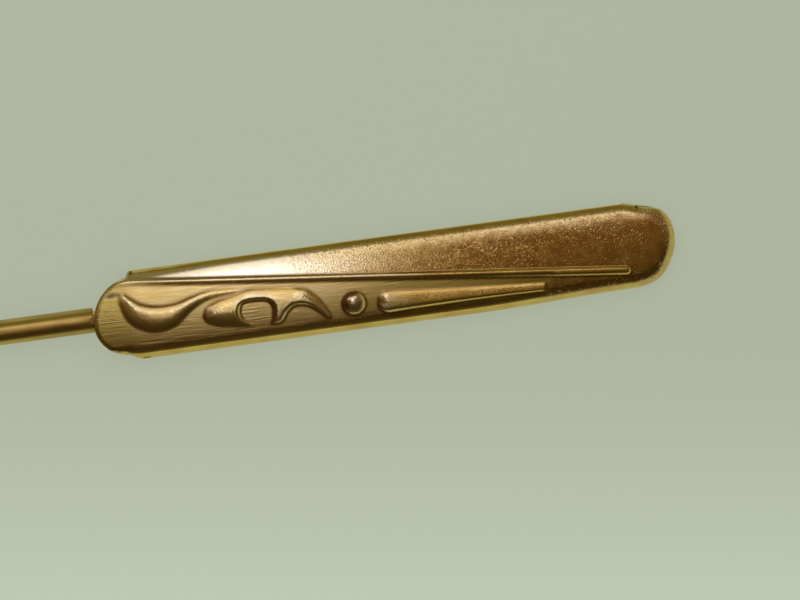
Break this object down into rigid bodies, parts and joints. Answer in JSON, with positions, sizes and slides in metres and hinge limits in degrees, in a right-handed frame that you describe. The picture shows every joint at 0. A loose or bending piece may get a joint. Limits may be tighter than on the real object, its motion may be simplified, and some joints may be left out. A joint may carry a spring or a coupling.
{
  "type": "hat pin",
  "caption": "Hat pin with a slim bar-shaped head of stamped, gold-coloured sheet with raised scroll ornament, folded round a back plate and soldered to a long pointed stem in line with it.",
  "frame": {"origin": "on the stem's axis, where the stem leaves the head", "axes": "-X along the stem to the point, +X along the head to its round end, +Z out of the stamped face, +Y across the head"},
  "size_m": [0.128, 0.0042, 0.002],
  "materials": {
    "stamped_gold": "stamped gold-filled brass, burnished and worn",
    "plain_gold": "plain gold-filled brass sheet",
    "stem_gold": "drawn gold-filled brass wire, dulled",
    "solder": "dull soft solder"
  },
  "bodies": {
    "root": {"face_shell": "stamped_gold", "back_plate": "plain_gold", "stem": "stem_gold", "stem_solder": "solder"}
  },
  "joints": []
}
